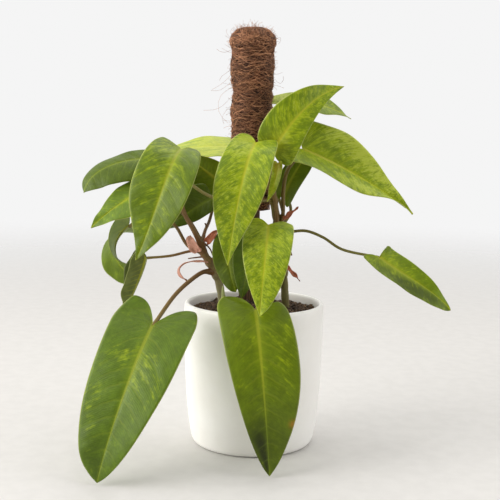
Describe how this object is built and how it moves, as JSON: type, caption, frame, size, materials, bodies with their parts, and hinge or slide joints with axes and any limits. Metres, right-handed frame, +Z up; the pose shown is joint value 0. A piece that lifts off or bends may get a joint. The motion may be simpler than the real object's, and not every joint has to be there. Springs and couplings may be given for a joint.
{
  "type": "potted painted lady philodendron",
  "caption": "Climbing foliage plant with mottled yellow-green heart-shaped leaves, on two stems by a coir pole, in a plain white cylindrical pot that stands flat.",
  "frame": {"origin": "centre of the pot's flat foot, on the surface it stands on", "axes": "+Z up along the pot and the pole; -Y is the front that the picture shows; +X is the viewer's right"},
  "size_m": [0.361, 0.2133, 0.413],
  "materials": {
    "pot_white": "matt white glaze",
    "soil_dark": "crumbly dark potting soil",
    "stake_wood": "bare dull wood",
    "coir": "wound coarse coir fibre",
    "stem_brown": "waxy brown-green stem",
    "stem_green": "waxy olive-green stem",
    "shoot_pale": "pale smooth shoot",
    "leaf_mottled": "satin green leaf with yellow-green mottling along its veins",
    "leaf_dark": "satin deep green leaf",
    "leaf_lime": "satin pale lime leaf",
    "sheath_dry": "dry papery sheath, rust to pink"
  },
  "bodies": {
    "root": {"pot": "pot_white", "soil": "soil_dark", "pole_stake": "stake_wood", "coir_sleeve": "coir", "left_stem": "stem_brown", "right_stem": "stem_green", "pale_shoot": "shoot_pale", "leaf_A": "leaf_mottled", "leaf_B": "leaf_mottled", "leaf_C": "leaf_mottled", "leaf_D": "leaf_mottled", "leaf_E": "leaf_dark", "leaf_F": "leaf_dark", "leaf_G": "leaf_mottled", "leaf_H": "leaf_mottled", "leaf_I": "leaf_mottled", "leaf_J": "leaf_mottled", "leaf_K": "leaf_mottled", "leaf_L": "leaf_mottled", "leaf_M": "leaf_mottled", "leaf_N": "leaf_lime", "leaf_O": "leaf_dark", "leaf_P": "leaf_dark", "leaf_Q": "leaf_dark", "leaf_R": "leaf_mottled", "leaf_S": "leaf_dark", "leaf_T": "leaf_dark", "sheath_right_upper": "sheath_dry", "sheath_right_lower": "sheath_dry", "sheath_left_pink": "sheath_dry", "sheath_left_red": "sheath_dry", "sheath_left_tan": "sheath_dry", "sheath_left_curl": "sheath_dry"}
  },
  "joints": []
}
